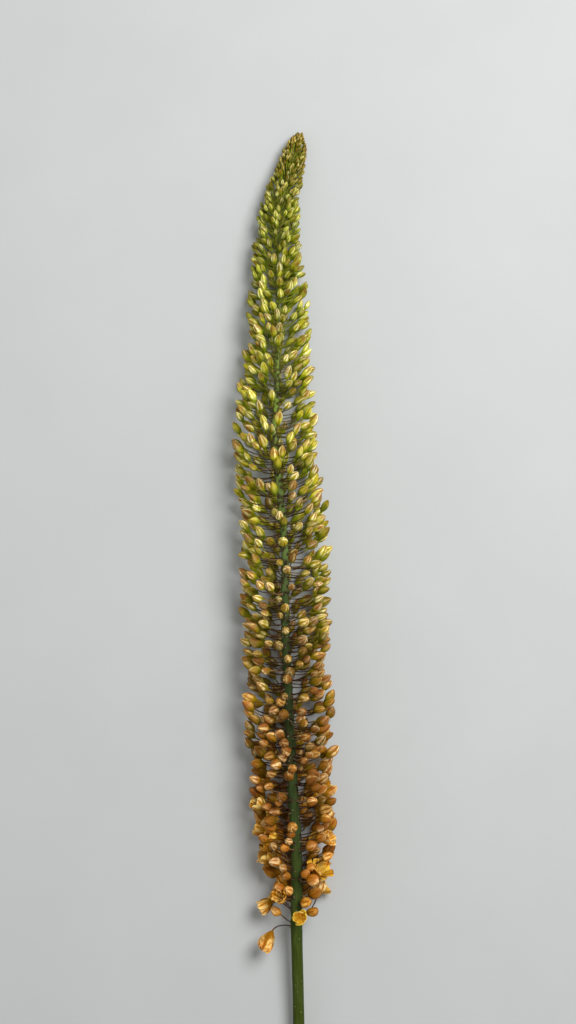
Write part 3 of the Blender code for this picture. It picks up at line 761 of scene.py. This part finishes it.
# open flowers
flowerForm = {
    "seeds": (100, 300),  # of the tepals and of the stamens, to which the flower's number is added
    "crossTo": (0.3, 0.2, 1.0),  # what the side of a flower is square to
    "lean": (10.0, 72.0),  # degrees when shut, and how much opening adds
    "strayLean": (0.85, 1.12),
    "steepest": 1.2,
    "bend": (0.8, 0.35),  # the share of the lean, and where along a tepal its curl turns
    "strayTurn": 0.08,
    "strayLength": (0.94, 1.0),
    # of the outer tepals and of the inner ones
    "leans": (1.0, 0.86),
    "cups": (1.0, 0.8),
    "widths": (0.9, 1.12),
    "rows": 18,
    "columns": 9,
    "cup": 0.9,
    "belly": 0.15,  # how much fuller the shut ones are in the middle
    "tepalWidth": 0.56,
    "cupRipe": 0.99,  # more golden flowers than this have wider tepals
    "cupWider": 1.3,
    "profileAt": (0, 0.08, 0.25, 0.5, 0.72, 0.88, 0.96, 1.0),
    "profile": (0.3, 0.42, 0.72, 0.96, 1.0, 0.82, 0.56, 0.2),
    "nearlyShut": 0.2,  # flowers less open than this show no stamens
    "shutPale": 0.85,
    "innerGreener": 0.01,
    "thickness": 0.28,
    "edgeThins": 0.6,
    "ribHeight": 0.16,
    "ribWidth": 0.16,
    "dish": 0.22,
    "wave": 0.1,
    "waves": 5,
    "stamens": 6,  # and one style
    "stamenTurn": 0.4,
    "strayStamen": 0.15,
    "stamenSpread": (12, 20),  # degrees when shut, and how much opening adds
    "styleSpread": 4,
    "straySpread": (0.8, 1.2),
    "stamenLength": (0.72, 0.92),
    "styleLength": 0.95,
    "stamenRoot": 0.4,
    "filament": (6, 6),  # rings, and points round each
    "anther": (7, 8),
    "filamentRadius": 0.16,
    "filamentThins": 0.35,
    "antherLength": 2.0,
    "antherRadius": 0.42,
    "antherBlunt": 0.02,
    "antherTilt": 0.5,
    "antherHeld": 0.4,  # how far along it the filament holds it
    "threads": {
        "grain": (600.0, 2.0),
        "colours": ((0.72, 0.5, 0.1), (0.85, 0.7, 0.28)),
        "roughness": (0.4, 0.6),
        "bump": (0.2, 0.0001),
        "gloss": 0.5,
    },
    "pollen": {
        "grain": (4000.0, 3.0),
        "colours": ((0.72, 0.36, 0.04), (0.95, 0.68, 0.14)),
        "roughness": (0.75, 0.95),
        "bump": (0.6, 0.0001),
        "gloss": 0.5,
    },
}


def flowerFrame(index):
    # its foot, the way it faces, the two ways across it, and its length
    foot, facing = florets["foot"][index], florets["facing"][index]
    side = unit(np.cross(facing, flowerForm["crossTo"]))
    length = float(np.linalg.norm(florets["tip"][index] - foot))
    return foot, facing, side, np.cross(facing, side), length


def addTepals(pile, index):
    form = flowerForm
    foot, facing, side, over, length = flowerFrame(index)
    opening, curl, spin, ripe = (florets[name][index] for name in ("opening", "curl", "spin", "ripe"))
    rng = np.random.default_rng(form["seeds"][0] + index)
    t = np.linspace(0, 1, form["rows"])
    acrossUp = np.linspace(-1, 1, form["columns"])
    u = np.concatenate([acrossUp, acrossUp[-2:0:-1]])  # over one face and back under the other
    face = np.concatenate([np.ones(form["columns"]), -np.ones(form["columns"] - 2)])
    face[[0, form["columns"] - 1]] = 0
    inners = np.arange(6) % 2
    sections = []
    for k, inner in enumerate(inners):
        angle = spin + k * math.pi / 3 + rng.uniform(-form["strayTurn"], form["strayTurn"])
        way = roundFrom(angle, side, over)
        beside = np.cross(facing, way)
        lean = math.radians(form["lean"][0] + form["lean"][1] * opening) * rng.uniform(*form["strayLean"])
        lean *= form["leans"][inner]
        bend = lean * (form["bend"][0] + curl * (t - form["bend"][1]))
        reach = length * rng.uniform(*form["strayLength"])
        out = form["cup"] * np.minimum(4 * t, 1) * form["cups"][inner] + reach * t * np.sin(bend)
        out = out + form["belly"] * length * max(0.0, 1 - 2 * opening) * np.sin(math.pi * t)
        up = reach * t * np.cos(bend)
        centre = foot + up[:, None] * facing + out[:, None] * way
        tangent = unit(np.gradient(centre, axis=0))
        outward = unit(np.cross(tangent, -beside))
        outward *= np.sign(dots(outward, way - facing * math.tan(min(lean, form["steepest"]))))
        wide = length * form["tepalWidth"] * form["widths"][inner] / 2
        wide *= form["cupWider"] if ripe > form["cupRipe"] else 1.0
        wide = wide * np.interp(t, form["profileAt"], form["profile"])[:, None]
        dish = form["dish"] * wide * u**2
        dish += form["wave"] * length * np.sin(form["waves"] * t + k)[:, None] * u**3 * t[:, None]
        thick = form["thickness"] / 2 * face * (1 - form["edgeThins"] * u**2)
        thick = thick + form["ribHeight"] * np.exp(-((u / form["ribWidth"]) ** 2)) * (face > 0)
        lift = (thick - dish)[..., None] * outward[:, None]
        sections.append(centre[:, None] + (wide * u)[..., None] * beside + lift)
    palest = form["shutPale"] if opening < form["nearlyShut"] else 0.0
    marks = {
        "along": t[None, :, None],
        "across": np.abs(u),
        "ripe": (ripe - form["innerGreener"] * inners)[:, None, None],
        "shade": florets["shade"][index],
        "inner": 0.0,
        "tepal": rng.uniform(palest, 1.0, 6)[:, None, None],
    }
    pile.add(np.array(sections), marks)


def addStamens(threads, anthers, index):
    form = flowerForm
    opening, spin = florets["opening"][index], florets["spin"][index]
    if opening < form["nearlyShut"]:
        return
    foot, facing, side, over, length = flowerFrame(index)
    rng = np.random.default_rng(form["seeds"][1] + index)
    (filamentRings, filamentAround), (antherRings, antherAround) = form["filament"], form["anther"]
    t, s = np.linspace(0, 1, filamentRings), np.linspace(0, 1, antherRings)
    belly = form["antherRadius"] * np.sqrt(np.maximum(np.sin(math.pi * s), form["antherBlunt"]))
    for k in range(form["stamens"] + 1):
        isStyle = k == form["stamens"]
        angle = spin + form["stamenTurn"] + k * math.pi / 3
        angle += rng.uniform(-form["strayStamen"], form["strayStamen"])
        way = roundFrom(angle, side, over)
        shut, opened = form["stamenSpread"]
        spread = math.radians(form["styleSpread"] if isStyle else shut + opened * opening)
        spread *= rng.uniform(*form["straySpread"])
        reach = length * (form["styleLength"] if isStyle else rng.uniform(*form["stamenLength"]))
        out = form["stamenRoot"] + reach * t * np.sin(spread * (0.5 + 0.5 * t))
        centre = foot + (reach * t * math.cos(spread))[:, None] * facing + out[:, None] * way
        direction = unit(np.gradient(centre, axis=0))
        radius = form["filamentRadius"] * (1 - form["filamentThins"] * t)
        threads.add(ringsAlong(centre[None], direction[None], side[None], radius[None], filamentAround), {})
        if isStyle:
            continue
        tilt = unit(direction[-1] + form["antherTilt"] * rng.uniform(-1, 1, 3))
        middle = centre[-1] + (s - form["antherHeld"])[:, None] * form["antherLength"] * tilt
        directions = np.broadcast_to(tilt, (1, len(s), 3))
        anthers.add(ringsAlong(middle[None], directions, side[None], belly[None], antherAround), {})


def grainMaterial(name, look):
    material, shader, place = newMaterial(name)
    grain = noiseAt(place, *look["grain"])
    dress(shader, look, mixColours(grain, *look["colours"]), grain, grain)
    return material


def makeOpenFlowers():
    tepals, threads, anthers = Pile(), Pile(), Pile()
    for index in np.flatnonzero(isOpen):
        addTepals(tepals, index)
        addStamens(threads, anthers, index)
    thread = grainMaterial("stamenThreads", flowerForm["threads"])
    pollen = grainMaterial("pollen", flowerForm["pollen"])
    piles = {"openFlowers": tepals, "stamenThreads": threads, "anthers": anthers}
    for (name, pile), material in zip(piles.items(), (petalSkin, thread, pollen)):
        pile.make(name, material, ["raceme_lower"], "buds_orange")


makeOpenFlowers()


# stalks
stalkForm = {
    "radius": (0.3, 0.42),  # at the tip of the spike and at its lowest flowers
    "swells": (0.55, 5),  # how much towards the flower, and how suddenly
    "flares": (0.5, 0.08),  # how much at the root, and over what share of the stalk
    "rings": 9,
    "around": 6,
    "sunk": 0.75,
    "leastBack": 0.15,
    "leastHeight": 0.5,
    # colours from the tip of the spike (0) to the open flowers (1)
    # the skin is the stalks' own green turning purple-brown, darkened further down the spike as painted
    # shade of its crowded middle
    "skin": (
        (0.0, 0.26, 0.31, 0.018), (0.2, 0.25, 0.31, 0.022), (0.3, 0.11, 0.11, 0.018),
        (0.4, 0.06, 0.038, 0.014), (0.62, 0.042, 0.018, 0.008), (1.0, 0.03, 0.012, 0.007),
    ),
    "nearFlower": (
        (0.0, 0.22, 0.26, 0.015), (0.45, 0.24, 0.28, 0.015), (0.7, 0.22, 0.15, 0.015),
        (1.0, 0.2, 0.08, 0.012),
    ),
    "nearFlowerAlong": (0.72, 1.0),
    # ranges for remap(), with the colours that they lay over the skin
    "pale": ((0.86, 0.9, 0.0, 0.5), (0.4, 0.24, 0.12)),
    "speckle": ((0.4, 0.7, 0.0, 0.25), (0.16, 0.09, 0.05)),
    "speckles": (900.0, 3.0),
    "roughness": (0.4, 0.62),
    "bump": (0.3, 0.0001),
    "gloss": 0.12,
}


def stalkLines():
    root, foot, facing = florets["root"], florets["foot"], florets["facing"]
    towardsTip = frameAt(root)[0]
    centre = middleAt(root)
    out = foot - centre
    out = unit(out - dots(out, towardsTip) * towardsTip)
    chord = unit(foot - centre)
    leave = unit(2 * chord - facing)
    back = np.minimum(dots(leave, towardsTip) + stalkForm["leastBack"], 0)
    leave = unit(leave - back * towardsTip)
    start = centre + out * (radiusAt(root) * stalkForm["sunk"])[:, None]
    t = np.linspace(0, 1, stalkForm["rings"])[None, :, None]
    reach = np.linalg.norm(foot - start, axis=1)[:, None, None]
    start, end = start[:, None], foot[:, None]
    leave, arrive = leave[:, None], facing[:, None]
    points = curveBetween(t, reach, start, leave, end, arrive)
    directions = unit(
        (6 * t**2 - 6 * t) * (start - end) + (3 * t**2 - 4 * t + 1) * reach * leave
        + (3 * t**2 - 2 * t) * reach * arrive
    )
    points[..., 2] = np.maximum(points[..., 2], stalkForm["leastHeight"])
    return points, directions, np.cross(towardsTip, out), t[0, :, 0]


def stalkMaterial():
    look = stalkForm
    material, shader, place, ripe, along, shade = newMaterial("stalks", "ripe", "along", "shade")
    # the skin ramp carries painted shade in the crowded lower spike
    skin, nearFlower = (colourRamp(ripe, look[name]) for name in ("skin", "nearFlower"))
    skin = lay(skin, along, look["nearFlowerAlong"], nearFlower)
    skin = lay(skin, shade, *look["pale"])
    speckles = noiseAt(place, *look["speckles"])
    skin = lay(skin, speckles, *look["speckle"])
    dress(shader, look, skin, speckles, speckles)
    return material


stalkPoints, stalkDirections, stalkSides, stalkAlong = stalkLines()


def addStalks(pile, chosen):
    swell, power = stalkForm["swells"]
    flare, share = stalkForm["flares"]
    thicker = (1 + swell * stalkAlong**power) * (1 + flare * np.exp(-((stalkAlong / share) ** 2)))
    ripe = florets["ripe"][chosen][:, None]
    radius = between(stalkForm["radius"], ripe) * thicker
    marks = {
        "ripe": ripe[:, :, None],
        "along": stalkAlong[None, :, None],
        "shade": florets["shade"][chosen][:, None, None],
    }
    places = (stalkPoints[chosen], stalkDirections[chosen], stalkSides[chosen])
    pile.add(ringsAlong(*places, radius, stalkForm["around"]), marks)


makeByStretch("Stalks", stalkMaterial(), addStalks)


# papery bracts under the stalks
bractForm = {
    "seed": 21,
    "share": 0.75,  # of the stalks that have one
    "ripeAt": (0, 0.25, 0.6, 1),
    "length": (1.2, 3.0, 8.0, 9.0),
    "strayLength": (0.7, 1.15),
    "straySway": 0.35,
    "droop": 0.35,
    "curlsUp": 0.35,
    "below": 0.6,
    "rings": 6,
    "width": 0.85,
    "taper": 0.8,
    "foot": ((0, 0.15, 1), (0.7, 1.0, 1.0)),  # how much narrower it is there
    "tipHalfWidth": 0.05,
    "thick": 0.12,
    "thins": 0.6,
    "skin": (0.3, 0.2, 0.12),
    "pale": ((0.0, 0.6), (0.66, 0.5, 0.4)),
    "fibre": ((0.4, 0.7, 0.0, 0.5), (0.8, 0.68, 0.55)),
    "fibres": (1200.0, 3.0),
    "roughness": (0.6, 0.8),
    "bump": (0.3, 0.0001),
    "gloss": 0.5,
}


def bractMaterial():
    look = bractForm
    material, shader, place, along = newMaterial("bracts", "along")
    fibres = noiseAt(place, *look["fibres"])
    skin = lay(look["skin"], along, *look["pale"])
    skin = lay(skin, fibres, *look["fibre"])
    dress(shader, look, skin, fibres, fibres)
    return material


def drawBracts():
    # which stalks have one, how long it is and how far it sways aside
    form = bractForm
    rng = np.random.default_rng(form["seed"])
    count = len(florets["root"])
    has = rng.random(count) < form["share"]
    lengths = rng.uniform(*form["strayLength"], count)
    return has, lengths, rng.uniform(-form["straySway"], form["straySway"], count)


hasBract, bractLengths, bractSways = drawBracts()


def addBracts(pile, grown):
    form = bractForm
    chosen = grown & hasBract
    t = np.linspace(0, 1, form["rings"])
    wide = form["width"] / 2 * (1 - t) ** form["taper"] * np.interp(t, *form["foot"]) + form["tipHalfWidth"]
    thick = form["thick"] / 2 * (1 - form["thins"] * t)
    towardsTip = frameAt(florets["root"][chosen])[0]
    start = stalkPoints[chosen, 0]
    away = unit(stalkPoints[chosen, stalkForm["rings"] // 2] - start)
    way = unit(away + stalkSides[chosen] * bractSways[chosen][:, None] - towardsTip * form["droop"])
    size = np.interp(florets["ripe"][chosen], form["ripeAt"], form["length"]) * bractLengths[chosen]
    rise = (t**2)[None, :, None] * towardsTip[:, None] * (size * form["curlsUp"])[:, None, None]
    begins = (start - towardsTip * form["below"])[:, None]
    centres = begins + (size[:, None] * t)[..., None] * way[:, None] + rise
    directions = unit(np.gradient(centres, axis=1))
    across = unit(np.cross(directions, towardsTip[:, None] + way[:, None] * 0.01))
    over = np.cross(directions, across)
    sections = np.stack([
        centres + (wide * a)[None, :, None] * across + (thick * b)[None, :, None] * over
        for a, b in ((1, 0), (0, 1), (-1, 0), (0, -1))
    ], axis=2)
    pile.add(sections, {"along": t[None, :, None]})


makeByStretch("Bracts", bractMaterial(), addBracts, sharp=80)


# the stem: the axis among the flowers, and the bare stalk
axisForm = {
    "around": 36,
    "step": 1.6,
    "bareStep": 3.0,
    "tipBegins": 3.0,
    "ribs": 9,
    "ribDepth": 0.022,
    "sways": ((0.012, 17.0, 0.0), (0.008, 5.3, 2.0)),  # how much thicker, over what length, from where
    "rootBump": 0.5,
    "rootSpread": 1.3,
    "rootReach": 4.0,
    "bumpShrinks": (3.0, 0.3),  # where the stem is thinner than this, down to this share
    "cutBefore": 0.5,
    "cutEnd": ((0.95, 0.0, 0.5), (0.8, 0.1, 1.0), (0.45, 0.25, 1.0)),  # shares, depths, paleness
    # colours from the tip (0) to the cut end (1): the stem's own greens, brightened as painted light along
    # the upper axis and darkened as painted shade among the lower flowers
    "skin": (
        (0.0, 0.17, 0.25, 0.014), (0.08, 0.24, 0.37, 0.022), (0.2, 0.23, 0.35, 0.03),
        (0.34, 0.115, 0.18, 0.04), (0.41, 0.036, 0.062, 0.016), (0.5, 0.024, 0.042, 0.012),
        (0.6, 0.028, 0.049, 0.013), (0.66, 0.042, 0.068, 0.013), (0.73, 0.036, 0.055, 0.006),
        (1.0, 0.042, 0.062, 0.003),
    ),
    "bloom": (0.23, 0.33, 0.12),
    "bloomCloud": (0.36, 0.68, 0.05, 0.6),
    "bloomFades": (0.3, 0.46, 1.0, 0.08),
    "pith": (0.44, 0.52, 0.22),
    # ranges for remap(), with the colours that they lay over the skin
    "paleFibre": ((0.5, 0.7, 0.0, 0.45), (0.095, 0.13, 0.03)),
    "darkFibre": ((0.3, 0.48, 0.45, 0.0), (0.012, 0.022, 0.004)),
    "scar": ((0.35, 0.9, 0.0, 0.85), (0.05, 0.035, 0.02)),
    "speck": ((0.07, 0.13, 0.45, 0.0), (0.45, 0.5, 0.28)),
    "palePith": ((0.35, 0.65), (0.62, 0.66, 0.38)),
    "strand": ((0.15, 0.3, 0.8, 0.0), (0.16, 0.22, 0.05)),
    "clouds": (45.0, 4.0, 0.6),  # scale, detail and roughness
    "stretch": (900.0, 35.0, 900.0),  # of the fibres, which run along the stem
    "fibres": (1.0, 4.0, 0.6),
    "specks": 260.0,
    "strands": 1100.0,
    "roughness": (0.38, 0.6),
    "bump": (0.25, 0.0003),
    "gloss": 0.06,
}


def stemRings(begin, end, step):
    form = axisForm
    along = np.linspace(begin, end, int((end - begin) / step) + 1)
    _, right, up = frameAt(along)
    angles = 2 * math.pi * np.arange(form["around"]) / form["around"]
    radius = radiusAt(along)[:, None] * (1 + form["ribDepth"] * np.cos(form["ribs"] * angles)[None, :])
    sway = 1 + sum(much * np.sin(along / length + start) for much, length, start in form["sways"])
    radius = radius * sway[:, None]
    out = florets["foot"] - middleAt(florets["root"])
    _, rootRight, rootUp = frameAt(florets["root"])
    rootAngle = np.arctan2(dots(out, rootUp)[:, 0], dots(out, rootRight)[:, 0])
    scar = np.zeros_like(radius)
    for root, turn in zip(florets["root"], rootAngle):
        close = np.abs(along - root) < form["rootReach"]
        aside = (angles - turn + math.pi) % (2 * math.pi) - math.pi
        far = (along[close][:, None] - root) ** 2 + (aside[None, :] * radiusAt(root)) ** 2
        scar[close] = np.maximum(scar[close], np.exp(-far / (2 * form["rootSpread"] ** 2)))
    fullBump, leastBump = form["bumpShrinks"]
    radius = radius + scar * form["rootBump"] * np.clip(radius / fullBump, leastBump, 1.0)
    sections = middleAt(along)[:, None] + radius[..., None] * roundFrom(angles, right[:, None], up[:, None])
    marks = {
        "fromTip": np.broadcast_to((along / stemLength)[:, None], radius.shape)[None],
        "scar": scar[None],
        "heart": np.zeros_like(scar)[None],
    }
    return sections[None], marks


def stemMaterial():
    look = axisForm
    marks = ("fromTip", "scar", "heart")
    material, shader, place, fromTip, scar, heart = newMaterial("stemSkin", *marks)
    cloud = noiseAt(place, *look["clouds"])
    tree = place.id_data
    stretched = addNode(tree, "ShaderNodeMapping", "Vector", {"Vector": place, "Scale": look["stretch"]})
    fibres = noiseAt(stretched, *look["fibres"])
    specks, strands = (
        addNode(tree, "ShaderNodeTexVoronoi", "Distance", {"Vector": place, "Scale": look[name]})
        for name in ("specks", "strands")
    )
    bloom = remap(cloud, *look["bloomCloud"])
    bloom = times(bloom, remap(fromTip, *look["bloomFades"]))
    # the ramp holds painted light on the upper axis and painted shade between the lower flowers, over the
    # stem's own greens
    skin = mixColours(bloom, colourRamp(fromTip, look["skin"]), look["bloom"])
    for value, name in ((fibres, "paleFibre"), (fibres, "darkFibre"), (scar, "scar"), (specks, "speck")):
        skin = lay(skin, value, *look[name])
    pith = lay(look["pith"], cloud, *look["palePith"])
    pith = lay(pith, strands, *look["strand"])
    dress(shader, look, mixColours(heart, skin, pith), cloud, fibres)
    return material


def makeStemPiece(name, sections, marks, material, nodes):
    pile = Pile()
    pile.add(sections[:, ::-1], {mark: values[:, ::-1] for mark, values in marks.items()})
    pile.make(name, material, nodes, "stem_green")


def makeStem():
    form = axisForm
    material = stemMaterial()
    ends = stemLine["racemeEnds"]
    sections, marks = stemRings(form["tipBegins"], ends, form["step"])
    makeStemPiece("flowerAxis", sections, marks, material, ["raceme_upper", "raceme_middle", "raceme_lower"])

    sections, marks = stemRings(ends, stemLength - form["cutBefore"], form["bareStep"])
    centre = middleAt(np.array([stemLength]))[0]
    last = sections[0, -1]
    inward = frameAt(np.array([stemLength - stemLine["lookAhead"]]))[0][0]
    for shrink, sink, heart in form["cutEnd"]:
        ring = centre + (last - last.mean(axis=0)) * shrink + inward * sink
        sections = np.concatenate([sections, ring[None, None]], axis=1)
        marks = {name: np.concatenate([values, values[:, -1:]], axis=1) for name, values in marks.items()}
        marks["heart"][:, -1] = heart
    makeStemPiece("bareStem", sections, marks, material, ["flower_stem"])


makeStem()


# floor, light and camera
studio = {
    "floorHalf": 20.0,  # metres
    "floorColour": (0.505, 0.54, 0.58),
    "floorShade": 0.9,  # of that colour, in its clouds
    "floorClouds": (10.0, 4.0, 0.55),
    "floorFinish": {"Roughness": 0.9, "Specular IOR Level": 0.2},
    "worldColour": (1.0, 0.95, 0.84),
    "worldStrength": 0.4,
    "aim": (0.0, 0.12, 0.0),
    "key": {"place": (0.62, 0.72, 1.42), "size": 0.9, "power": 29.5, "colour": (1.0, 0.97, 0.9)},
    "fill": {"place": (-1.4, -0.3, 1.3), "size": 2.0, "power": 3.0, "colour": (0.92, 0.96, 1.0)},
}


def makeFloor():
    mesh = bpy.data.meshes.new("floor")
    half = studio["floorHalf"]
    corners = [(x * half, y * half, 0) for x, y in ((-1, -1), (1, -1), (1, 1), (-1, 1))]
    mesh.from_pydata(corners, [], [(0, 1, 2, 3)])
    floor = addObject("floor", mesh)
    material, shader, place = newMaterial("floorPaint")
    cloud = noiseAt(place, *studio["floorClouds"])
    shaded = tuple(value * studio["floorShade"] for value in studio["floorColour"])
    plug(mixColours(cloud, shaded, studio["floorColour"]), shader.inputs["Base Color"])
    for name, value in studio["floorFinish"].items():
        shader.inputs[name].default_value = value
    mesh.materials.append(material)


def addLight(name, look):
    light = bpy.data.lights.new(name, "AREA")
    light.shape = "DISK"
    light.size = look["size"]
    light.energy = look["power"]
    light.color = look["colour"]
    lamp = addObject(name, light)
    lamp.location = look["place"]
    lamp.rotation_euler = (Vector(look["place"]) - Vector(studio["aim"])).to_track_quat("Z", "Y").to_euler()


def makeWorld():
    world = bpy.data.worlds.new("studio")
    world.use_nodes = True
    back = world.node_tree.nodes["Background"]
    back.inputs["Color"].default_value = (*studio["worldColour"], 1.0)
    back.inputs["Strength"].default_value = studio["worldStrength"]
    bpy.context.scene.world = world


photoFrame = {
    "high": 1024,
    "mmPerPixel": 0.698,
    "centre": (2.59, 132.1, 23.5),  # what the middle of the picture shows
    "distance": 1300.0,
    "sensor": 36.0,
    "clipEnd": 50.0,  # metres
}


def makeCamera():
    camera = bpy.data.cameras.new("camera")
    shown = photoFrame["high"] * photoFrame["mmPerPixel"]
    camera.sensor_width = photoFrame["sensor"]
    camera.lens = photoFrame["sensor"] * photoFrame["distance"] / shown
    camera.clip_end = photoFrame["clipEnd"]
    holder = addObject("camera", camera)
    x, y, z = photoFrame["centre"]
    holder.location = (x * mm, y * mm, (z + photoFrame["distance"]) * mm)
    bpy.context.scene.camera = holder
    bpy.context.scene.view_settings.view_transform = "Standard"


makeFloor()
makeWorld()
for lamp in ("key", "fill"):
    addLight(lamp, studio[lamp])
makeCamera()
print("floor, light and camera are set")
